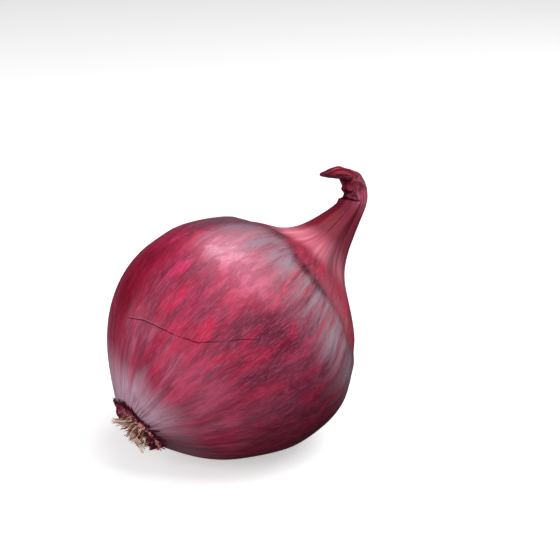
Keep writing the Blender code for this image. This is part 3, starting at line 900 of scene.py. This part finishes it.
def rimPoints(reach, around, lift):
    # points of the root end: reach is the way in mm from the skin's rim, up the skin or in over the end
    stations = np.linspace(rimHeight, rimHeight + 10.4, 80)
    walked = np.concatenate([[0.0], np.cumsum(np.hypot(np.diff(stations), np.diff(skinRadius(stations))))])
    along = np.interp(reach, walked, stations)
    here = skinRadius(along)
    slope = np.arctan((skinRadius(along + 0.01) - here) / 0.01)
    inward = np.clip(-reach, 0, 1)
    slope = slope + (math.pi / 2 - slope) * inward
    radius = here * lobed(around) + np.minimum(reach, 0) + lift * np.cos(slope)
    height = along - 0.1 * inward - lift * np.sin(slope)
    return np.stack([radius * np.cos(around), radius * np.sin(around), height], axis=-1)


def massLift(reach, around):
    # height of the fibrous mass between the plate and the torn edge
    inner = rimAt(around) - rimRadius
    share = np.clip((reach - inner) / (edgeAt(around, collar["reach"]) - inner), 0, 1)
    thick = collar["bandLift"] + collar["bulge"] * np.clip(np.cos(around - collar["bulgeSide"]), 0, 1) ** 2
    return 0.08 + thick * np.sin(math.pi * np.clip(share, 0.02, 0.98)) ** 0.6


def bladeMesh(paths):
    # flat tapering blades, each a list of (left, right, normal) rows; every blade is a closed thin slab
    points, faces, growthAt, tone, reach = [], [], [], [], []
    for number, (rows, thickness, shade) in enumerate(paths):
        start = len(points)
        last = len(rows) - 1
        for step, (left, right, normal) in enumerate(rows):
            for corner, side in ((left, 1), (right, 1), (right, -1), (left, -1)):
                points.append(corner + normal * (side * thickness / 2))
                across = number * 0.37 % 7 + (0.2 if corner is right else 0.0)
                growthAt.append((across, shade * 3, step / last * 0.05))
                tone.append(shade)
                reach.append(step / last)
        for step in range(last):
            a, b = start + step * 4, start + (step + 1) * 4
            for k in range(4):
                n = (k + 1) % 4
                faces.append((a + k, b + k, b + n, a + n))
        faces.append((start, start + 1, start + 2, start + 3))
        end = start + last * 4
        faces.append((end + 3, end + 2, end + 1, end))
    return np.array(points), faces, {"tone": tone, "reach": reach}, {"growth": growthAt}


def surfaceBlade(draw, tip, around, length, width, lift, curl, rows=8):
    # a pointed blade that lies over the torn skin
    t = np.linspace(0, 1, rows)
    lean, wave = draw.uniform(-0.3, 0.3), draw.uniform(0, fullTurn)
    reach = tip - length * (1 - t)
    here = rimRadius + np.where(reach > 0, 0.85, 1.0) * reach       # rough radius there
    half = width / 2 * (1 - t) ** 0.6 * (1 + 0.25 * np.sin(5 * t + wave)) + 0.03
    middle = around + (lean * t * length + 0.15 * np.sin(4 * t + wave)) / here
    high = lift + massLift(reach, middle) + curl * t * t
    left = rimPoints(reach, middle - half / here, high)
    right = rimPoints(reach, middle + half / here, high)
    above = rimPoints(reach, middle, high + 0.1) - rimPoints(reach, middle, high)
    above /= np.linalg.norm(above, axis=1)[:, None]
    return list(zip(left, right, above))


def makeTornSkinFinish():
    dark, wine, pale = (linearColour(*collar[name]) for name in ("dark", "wine", "pale"))
    made, tree, shader = newMaterial("tornDrySkin")
    tone = attributeSocket(tree, "tone")
    fibres = placeGroup(tree, growthStreaks, around=150, length=5, seed=2.0, low=0.44, high=0.6, wobble=0.3)
    streaky = placeGroup(tree, growthStreaks, around=70, length=4, seed=8.0, low=0.42, high=0.6, wobble=0.4)
    skin = paintOver(tree, dark, wine, rangeSocket(tree, tone, 0.3, 0.9))
    skin = paintOver(tree, skin, wine, streaky, 0.6)
    paler = mathSocket(tree, "MULTIPLY", fibres, rangeSocket(tree, tone, 0.3, 0.6))
    skin = paintOver(tree, skin, pale, paler, 0.6)
    tree.links.new(skin, shader.inputs["Base Color"])
    shader.inputs["Roughness"].default_value = collar["roughness"]
    setBump(tree, shader, fibres, 0.08, 0.7)
    return made


def makeCollarBand(material):
    # fibrous skin from the plate's rim out to its torn edge
    look = collar
    columns, rows = look["bandColumns"], look["bandRows"]
    turns, shares = np.linspace(0, fullTurn, columns + 1)[:-1], np.linspace(0, 1, rows)
    around, share = (grid.ravel() for grid in np.meshgrid(turns, shares, indexing="ij"))
    level = np.zeros(len(around))
    torn = 0.6 * wavyNoise(level, around, 61, 34, 9.0) + 0.6 * wavyNoise(level, around, 62, 130, 9.0)
    inner = rimAt(around) - rimRadius - 0.6
    outer = edgeAt(around, look["reach"]) + look["torn"] * (torn - 0.5)
    reach = inner + (outer - inner) * share
    rough = wavyNoise(share * 9, around, 63, 150, 1.2) + 0.6 * wavyNoise(share * 9, around, 64, 290, 3.0)
    fade = np.clip(np.minimum(5 * (1 - share), 6 * share + 0.3), 0, 1)
    lift = massLift(reach, around) + look["bandRough"] * rough * fade - 0.16 * (1 - fade)
    points = rimPoints(reach, around, lift)
    direction = np.stack([np.cos(around), np.sin(around), reach / 100], axis=1)
    faces = []
    for column in range(columns):
        ahead = (column + 1) % columns
        for row in range(rows - 1):
            a, b = column * rows + row, ahead * rows + row
            faces.append((a, a + 1, b + 1, b))
    values = {"tone": 0.62 + 0.4 * rough}
    return meshPiece("collarBand", layDown(points), faces, material, values, {"growth": direction})


def plateDirections(around):
    # away from the middle of the plate, and round it
    outwards = np.array([math.cos(around), math.sin(around), 0.0])
    return outwards, np.array([-outwards[1], outwards[0], 0.0])


def hangingLobe(around, width, length, curl, rows=10):
    # a torn lobe over the lower end of the plate
    outwards, sideways = plateDirections(around)
    foot = plateMiddle() + (collar["rim"] + 0.15) * outwards + np.array([0.0, 0.0, collar["lobeFoot"]])
    blade = []
    for step in range(rows):
        t = step / (rows - 1)
        middle = foot - np.array([0.0, 0.0, length * t]) - outwards * (curl * (t * t - 0.3 * t))
        half = width / 2 * (0.75 + 0.6 * t - 1.15 * t**3 + 0.12 * math.sin(8 * t + around * 9))
        normal = outwards * math.cos(0.5 * t) - np.array([0.0, 0.0, math.sin(0.5 * t)])
        blade.append((middle - sideways * half, middle + sideways * half, normal))
    return blade


def makeCollarTeeth(material):
    look = collar
    draw = random.Random(look["seed"])
    blades = []
    for layer, (share, shade) in enumerate(look["layers"]):
        for tooth in range(look["teeth"]):
            around = fullTurn * (tooth + 0.37 * layer + draw.uniform(-0.32, 0.32)) / look["teeth"]
            towards = max(0.0, math.cos(around - look["spikeSide"]))
            spike = look["spikes"] * towards**2 * draw.random() ** 2
            past = share * (draw.uniform(*look["past"]) + spike)
            tip = float(edgeAt(around, look["reach"])) + past - look["layerStep"] * layer
            longest = tip - float(rimAt(around)) + rimRadius - 0.2
            length = min(longest, draw.uniform(*look["length"]) * share + spike)
            width = draw.uniform(*look["width"]) * (1.0 if layer == 0 else 0.7)
            curl = draw.uniform(0.0, look["curl"]) * share
            rows = surfaceBlade(draw, tip, around, length, width, look["lift"] * (1 + layer), curl)
            tone = min(1.0, max(0.0, shade + draw.uniform(-0.1, 0.2)))
            blades.append((rows, look["thickness"], tone))
    for lobe in look["lobes"]:
        blades.append((hangingLobe(*lobe), look["lobeThickness"], look["lobeTone"]))
    points, faces, values, vectors = bladeMesh(blades)
    return meshPiece("collarTeeth", layDown(points), faces, material, values, vectors, smooth=False)


tornDrySkin = makeTornSkinFinish()
collarBand = makeCollarBand(tornDrySkin)
collarTeeth = makeCollarTeeth(tornDrySkin)
for piece in (collarBand, collarTeeth):
    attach(piece, "root")
    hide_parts("skin_collar")
print("collar:", len(collarTeeth.data.polygons) + len(collarBand.data.polygons), "faces")


# The root plate and its beard
roots = {
    "plateRadius": 6.1, "plateRim": -38.6, "plateTop": -39.9, "plateRough": 0.4,
    "plateRings": 26, "plateColumns": 120,
    "count": 270, "length": (2.2, 4.8), "thickness": (0.3, 0.7), "seed": 17,
    "lean": (0.1, 0.8), "bend": 0.26, "wobble": 0.14, "steps": 8,
    "shortSide": 5.4, "shortening": 0.45, "tuftThickness": (0.36, 0.7),
    # tufts: how many, foot (distance and direction from the plate's middle), rise over the other roots,
    # spread of the feet, direction and slope of the lean, shortest and longest
    "tufts": (
        (18, (4.4, 2.5), 0.6, 1.4, 2.5, 0.9, (3.2, 5.2)),
        (26, (3.5, 1.93), 2.2, 1.5, 5.12, 5.5, (5.0, 8.6)),
        (6, (2.8, 4.4), 0.6, 1.6, 5.5, 1.4, (1.6, 3.0)),
        (12, (3.8, 0.9), 0.4, 1.8, 1.0, 0.8, (2.6, 4.0)),
    ),
    # a stray root beside the left of the end: radius, direction and height at both ends
    "stray": ((9.8, 2.22, -38.2), (9.5, 1.7, -39.0)),
    "straw": (255, 224, 206), "brown": (136, 76, 62), "shade": (60, 24, 26), "rust": (200, 104, 86),
    "roughness": 0.72,
}


def makeDryRootFinish(name, *colours):
    made, tree, shader = newMaterial(name)
    light, dark, shade, rust = (linearColour(*roots[given]) for given in (*colours, "shade", "rust"))
    tone = attributeSocket(tree, "tone")
    reach = attributeSocket(tree, "reach")
    fibres = placeGroup(tree, growthStreaks, around=40, length=4, seed=5.0, low=0.42, high=0.6, wobble=0.3)
    grain = placeGroup(tree, paperGrain, size=0.5, low=0.4, high=0.62)
    wood = paintOver(tree, dark, light, rangeSocket(tree, tone, 0.25, 0.75))
    wood = paintOver(tree, wood, shade, rangeSocket(tree, reach, 0.6, 0.05), 0.85)
    wood = paintOver(tree, wood, rust, mathSocket(tree, "MULTIPLY", fibres, grain), 0.3)
    tree.links.new(wood, shader.inputs["Base Color"])
    shader.inputs["Roughness"].default_value = roots["roughness"]
    setBump(tree, shader, fibres, 0.06, 0.7)
    return made


def makeRootPlate():
    look = roots
    rings, columns = look["plateRings"], look["plateColumns"]
    shares = np.linspace(0.02, 1.0, rings)
    turns = np.linspace(0, fullTurn, columns + 1)[:-1]
    share, around = (grid.ravel() for grid in np.meshgrid(shares, turns, indexing="ij"))
    radius = share * look["plateRadius"]
    across = share * 60
    lumps = 0.5 * wavyNoise(across, around, 41, 24, 5.0) + 0.5 * wavyNoise(across, around, 42, 60, 2.5)
    depth = look["plateTop"] + (look["plateRim"] - look["plateTop"]) * share**3
    depth = depth + look["plateRough"] * lumps * (1 - smoothStep(share, 0.9, 1.0))
    points = np.stack([radius * np.cos(around), radius * np.sin(around), depth], axis=1)
    faces = []
    for ring in range(rings - 1):
        near, far = ring * columns, (ring + 1) * columns
        for i in range(columns):
            j = (i + 1) % columns
            faces.append((near + j, near + i, far + i, far + j))
    faces.append(tuple(range(columns)))
    # the hidden back of the plate
    back = points[-columns:] * (0.97, 0.97, 1.0) + (0.0, 0.0, 0.9)
    start = len(points)
    points = np.concatenate([points, back]) + plateMiddle()
    edge = start - columns
    for i in range(columns):
        j = (i + 1) % columns
        faces.append((edge + j, edge + i, start + i, start + j))
    faces.append(tuple(reversed(range(start, start + columns))))
    around = np.append(around, around[-columns:])
    direction = np.stack([np.cos(around), np.sin(around), points[:, 2] / 100], axis=1)
    lumps = np.append(lumps, np.zeros(columns))
    values = {"tone": 0.35 + 0.4 * lumps, "reach": np.clip(0.3 + 0.5 * lumps, 0, 1)}
    material = makeDryRootFinish("rootPlateCork", "brown", "shade")
    return meshPiece("rootPlate", layDown(points), faces, material, values, {"growth": direction})


def tubeMesh(lines, sides=6):
    # closed tapering tubes; each line is (points, radii, tone)
    points, faces, tone, reach, direction = [], [], [], [], []
    for number, (places, radii, shade) in enumerate(lines):
        start, last = len(points), len(places) - 1
        ahead = np.gradient(places, axis=0)
        ahead /= np.linalg.norm(ahead, axis=1)[:, None]
        side = np.cross(ahead, (0.31, 0.87, 0.12))
        side /= np.linalg.norm(side, axis=1)[:, None]
        other = np.cross(ahead, side)
        for step in range(last + 1):
            for k in range(sides):
                x, y = math.cos(fullTurn * k / sides), math.sin(fullTurn * k / sides)
                points.append(places[step] + radii[step] * (side[step] * x + other[step] * y))
                tone.append(shade)
                reach.append(step / last)
                direction.append((number * 0.61 % 5 + x * 0.3, y * 0.3, step / last * 0.05))
        for step in range(last):
            for k in range(sides):
                n = (k + 1) % sides
                a, b = start + step * sides, start + (step + 1) * sides
                faces.append((a + k, a + n, b + n, b + k))
        faces.append(tuple(start + k for k in reversed(range(sides))))
        faces.append(tuple(start + last * sides + k for k in range(sides)))
    return np.array(points), faces, {"tone": tone, "reach": reach}, {"growth": direction}


def oneRoot(draw, foot, out, length, thick, number, rise=0.0):
    # a bent tapering thread: points, radii and tone
    aside = np.array([draw.uniform(-1, 1), draw.uniform(-1, 1), draw.uniform(-0.3, 0.4)])
    aside = aside * roots["bend"] * length
    wobble = np.array([draw.uniform(-1, 1), draw.uniform(-1, 1), draw.uniform(-1, 1)]) * roots["wobble"]
    places, radii = [], []
    for step in range(roots["steps"] + 1):
        t = step / roots["steps"]
        risen = np.array([0.0, 0.0, -rise * (1 - (1 - t) ** 3)])
        onward = out * length * t**(1.4 if rise > 0 else 1)
        places.append(foot + risen + onward + aside * 0.5 * t * t + wobble * math.sin(7 * t + number))
        radii.append(thick / 2 * (1.15 - 0.75 * t) * (1 + 0.18 * math.sin(9 * t + number * 1.3)))
    return np.array(places), radii, draw.random()


def leaning(turn, slope):
    # direction of a root that leans away from the axis
    out = np.array([math.cos(turn) * slope, math.sin(turn) * slope, -1.0])
    return out / np.linalg.norm(out)


def makeRootBeard():
    look = roots
    draw = random.Random(look["seed"])
    golden = math.pi * (3 - math.sqrt(5))
    lines = []
    for number in range(look["count"]):
        share = math.sqrt((number + 0.5) / look["count"])
        around = number * golden + draw.uniform(-0.2, 0.2)
        radius = share * (look["plateRadius"] - 0.5)
        depth = look["plateTop"] + 0.9 * share**3 + 0.5
        foot = np.array([radius * math.cos(around), radius * math.sin(around), depth])
        shorter = 1 - look["shortening"] * max(0.0, math.cos(around - look["shortSide"]))
        length = draw.uniform(*look["length"]) * draw.uniform(0.6, 1.0) * shorter
        out = leaning(around + draw.uniform(-0.8, 0.8), share * draw.uniform(*look["lean"]))
        root = oneRoot(draw, foot + plateMiddle(), out, length, draw.uniform(*look["thickness"]), number)
        lines.append((root[0], root[1], 0.8 * root[2]))
    for count, (far, place), rise, spread, towards, slope, (short, long) in look["tufts"]:
        for number in range(count):
            foot = np.array([far * math.cos(place) + draw.gauss(0, spread / 2),
                             far * math.sin(place) + draw.gauss(0, spread / 2), look["plateTop"] + 0.4])
            out = leaning(towards + draw.gauss(0, 0.13), slope * draw.uniform(0.85, 1.15))
            thick, length = draw.uniform(*look["tuftThickness"]), draw.uniform(short, long)
            risen = rise * draw.uniform(0.6, 1.2)
            root = oneRoot(draw, foot + plateMiddle(), out, length, thick, number, risen)
            lines.append((root[0], root[1], 0.45 + 0.55 * root[2]))
    # one stray root over the left of the end
    start, end = (np.array([radius * math.cos(turn), radius * math.sin(turn), height])
                  for radius, turn, height in look["stray"])
    steps = range(look["steps"] + 1)
    stray = np.array([start + (end - start) * step / look["steps"] for step in steps])
    lines.append((stray, [0.22 + 0.02 * step for step in steps], 0.95))
    points, faces, values, vectors = tubeMesh(lines)
    material = makeDryRootFinish("dryRootStraw", "straw", "brown")
    return meshPiece("rootBeard", layDown(points), faces, material, values, vectors)


rootPlate = makeRootPlate()
rootBeard = makeRootBeard()
for piece in (rootPlate, rootBeard):
    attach(piece, "root")
    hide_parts("roots")
print("roots:", len(rootBeard.data.polygons), "faces")


# The crust of torn scales at the plate's rim
rimScales = {
    "count": 360, "seed": 36, "length": (0.5, 1.7), "width": (0.3, 0.9), "thickness": 0.12,
    "past": 0.15, "spread": 0.75,           # of the feet from the rim, outwards
    "foot": -38.7, "footHeights": (-0.25, 0.3),
    "lean": (-0.4, 1.1), "aside": (-0.8, 0.8), "turned": (-0.9, 0.9), "curl": (-0.5, 0.9),
    # next to the torn lobes the scales are shorter and lean out more
    "lobeSide": 5.3, "lobeShorter": 0.45, "lobeLean": 1.3,
    "red": (176, 56, 68), "peach": (236, 168, 146), "deep": (120, 26, 50), "tipLight": (252, 214, 200),
    "roughness": 0.6,
}


def makeCrustFinish():
    names = ("red", "peach", "deep", "tipLight")
    red, peach, deep, tipLight = (linearColour(*rimScales[name]) for name in names)
    made, tree, shader = newMaterial("tornRimCrust")
    tone = attributeSocket(tree, "tone")
    reach = attributeSocket(tree, "reach")
    grain = placeGroup(tree, paperGrain, size=0.35, low=0.4, high=0.62)
    crust = paintOver(tree, red, peach, rangeSocket(tree, tone, 0.2, 0.85))
    crust = paintOver(tree, crust, deep, rangeSocket(tree, reach, 0.35, 0.0), 0.6)
    crust = paintOver(tree, crust, tipLight, mathSocket(tree, "MULTIPLY", reach, grain), 0.45)
    tree.links.new(crust, shader.inputs["Base Color"])
    shader.inputs["Roughness"].default_value = rimScales["roughness"]
    setBump(tree, shader, grain, 0.05, 0.6)
    return made


def tornScale(draw, foot, outwards, sideways, byLobes, number, rows=5):
    # a small curled scale
    look = rimScales
    length = draw.uniform(*look["length"]) * (1 - look["lobeShorter"] * byLobes)
    width = draw.uniform(*look["width"])
    lean = draw.uniform(*look["lean"]) + look["lobeLean"] * byLobes
    out = outwards * lean + sideways * draw.uniform(*look["aside"]) + np.array([0, 0, -1.0])
    out /= np.linalg.norm(out)
    across = np.cross(out, outwards + sideways * draw.uniform(*look["turned"]))
    across /= np.linalg.norm(across)
    normal = np.cross(across, out)
    curl = draw.uniform(*look["curl"])
    blade = []
    for step in range(rows):
        t = step / (rows - 1)
        middle = foot + out * length * t + normal * curl * t * t * length * 0.6
        half = width / 2 * (0.6 + 0.9 * t - 1.25 * t * t + 0.1 * math.sin(9 * t + number))
        blade.append((middle - across * half, middle + across * half, normal))
    return blade


def makeRimCrust():
    look = rimScales
    draw = random.Random(look["seed"])
    blades = []
    for number in range(look["count"]):
        around = fullTurn * (number + draw.uniform(-0.5, 0.5)) / look["count"]
        radius = collar["rim"] + draw.gauss(look["past"], look["spread"])
        outwards, sideways = plateDirections(around)
        height = np.array([0.0, 0.0, look["foot"] + draw.uniform(*look["footHeights"])])
        foot = plateMiddle() + outwards * radius + height
        byLobes = smoothStep(math.cos(around - look["lobeSide"]), 0.3, 0.7)
        blade = tornScale(draw, foot, outwards, sideways, byLobes, number)
        blades.append((blade, look["thickness"], draw.random()))
    points, faces, values, vectors = bladeMesh(blades)
    return meshPiece("rimCrust", layDown(points), faces, makeCrustFinish(), values, vectors, smooth=False)


rimCrust = makeRimCrust()
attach(rimCrust, "root")
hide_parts("skin_collar")
print("rim crust:", len(rimCrust.data.polygons), "faces")


# Floor, lights and camera
studio = {
    # lengths in metres, angles in degrees
    "floorSize": 6.0, "floorTint": (0.9, 0.9, 0.9, 1.0), "floorRoughness": 0.9, "floorGlow": 0.45,
    "white": (1.0, 1.0, 1.0, 1.0), "lightTint": (1.0, 0.97, 0.97, 1.0),
    "worldForCamera": 1.0, "worldForLight": 0.07, "worldForGloss": 0.03,
    # name, direction from the bulb, distance, width, height, watts, whether it shows in the gloss
    "lamps": (
        ("overheadSoftbox", (0.28, -0.3, 0.91), 0.8, 0.8, 0.75, 6.8, True),
        ("frontFill", (-0.68, -0.66, 0.35), 0.9, 0.9, 0.9, 6.0, False),
        ("leftFill", (-0.85, 0.3, 0.42), 0.9, 0.8, 0.8, 3.2, False),
        ("sideStrip", (0.97, -0.08, 0.15), 0.7, 0.35, 0.6, 1.0, True),
    ),
    "aim": (0.0135, -0.003519, 0.05137),
    "azimuth": -34.2, "elevation": 20.0, "distance": 0.466667,
    "lens": 100.0, "sensor": 36.0,          # mm
}


def makeFloor():
    half = studio["floorSize"] / 2
    mesh = bpy.data.meshes.new("studioFloor")
    corners = [(-half, -half, 0), (half, -half, 0), (half, half, 0), (-half, half, 0)]
    mesh.from_pydata(corners, [], [(0, 1, 2, 3)])
    made, tree, shader = newMaterial("paleFloor")
    shader.inputs["Base Color"].default_value = studio["floorTint"]
    shader.inputs["Roughness"].default_value = studio["floorRoughness"]
    shader.inputs["Emission Color"].default_value = studio["white"]
    shader.inputs["Emission Strength"].default_value = studio["floorGlow"]
    mesh.materials.append(made)
    floor = bpy.data.objects.new("studioFloor", mesh)
    bpy.context.scene.collection.objects.link(floor)
    floor.visible_diffuse = False
    floor.visible_glossy = False


def makeWorld():
    world = bpy.data.worlds.new("studioWorld")
    bpy.context.scene.world = world
    world.use_nodes = True
    tree = world.node_tree
    seen = tree.nodes["Background"]
    seen.inputs["Strength"].default_value = studio["worldForCamera"]
    seen.inputs["Color"].default_value = studio["white"]
    lighting = addNode(tree, "ShaderNodeBackground")
    lighting.inputs["Color"].default_value = studio["lightTint"]
    either = addNode(tree, "ShaderNodeMixShader")
    path = addNode(tree, "ShaderNodeLightPath")
    glossy, plain = path.outputs["Is Glossy Ray"], studio["worldForLight"]
    strength = mathSocket(tree, "MULTIPLY_ADD", glossy, studio["worldForGloss"] - plain, plain)
    tree.links.new(strength, lighting.inputs["Strength"])
    tree.links.new(path.outputs["Is Camera Ray"], either.inputs[0])
    tree.links.new(lighting.outputs[0], either.inputs[1])
    tree.links.new(seen.outputs[0], either.inputs[2])
    tree.links.new(either.outputs[0], tree.nodes["World Output"].inputs["Surface"])


def makeLamps():
    middle = np.array(growth["bulbMiddle"]) * mm
    for name, direction, distance, width, height, watts, inGloss in studio["lamps"]:
        lamp = bpy.data.lights.new(name, "AREA")
        lamp.shape = "RECTANGLE"
        lamp.size, lamp.size_y = width, height
        lamp.energy = watts
        thing = bpy.data.objects.new(name, lamp)
        way = np.array(direction) / np.linalg.norm(direction)
        thing.location = middle + way * distance
        thing.visible_glossy = inGloss
        back = Vector(way.tolist())
        thing.rotation_euler = back.to_track_quat("Z", "Y").to_euler()
        bpy.context.scene.collection.objects.link(thing)


def makeCamera():
    turn, tilt = math.radians(studio["azimuth"]), math.radians(studio["elevation"])
    back = np.array([math.sin(turn) * math.cos(tilt), -math.cos(turn) * math.cos(tilt), math.sin(tilt)])
    lens = bpy.data.cameras.new("photoCamera")
    lens.lens = studio["lens"]
    lens.sensor_width = studio["sensor"]
    camera = bpy.data.objects.new("photoCamera", lens)
    camera.location = np.array(studio["aim"]) + back * studio["distance"]
    camera.rotation_euler = Vector(back.tolist()).to_track_quat("Z", "Y").to_euler()
    bpy.context.scene.collection.objects.link(camera)
    bpy.context.scene.camera = camera


makeFloor()
makeWorld()
makeLamps()
makeCamera()
bpy.context.scene.view_settings.view_transform = "Standard"
print("studio ready")
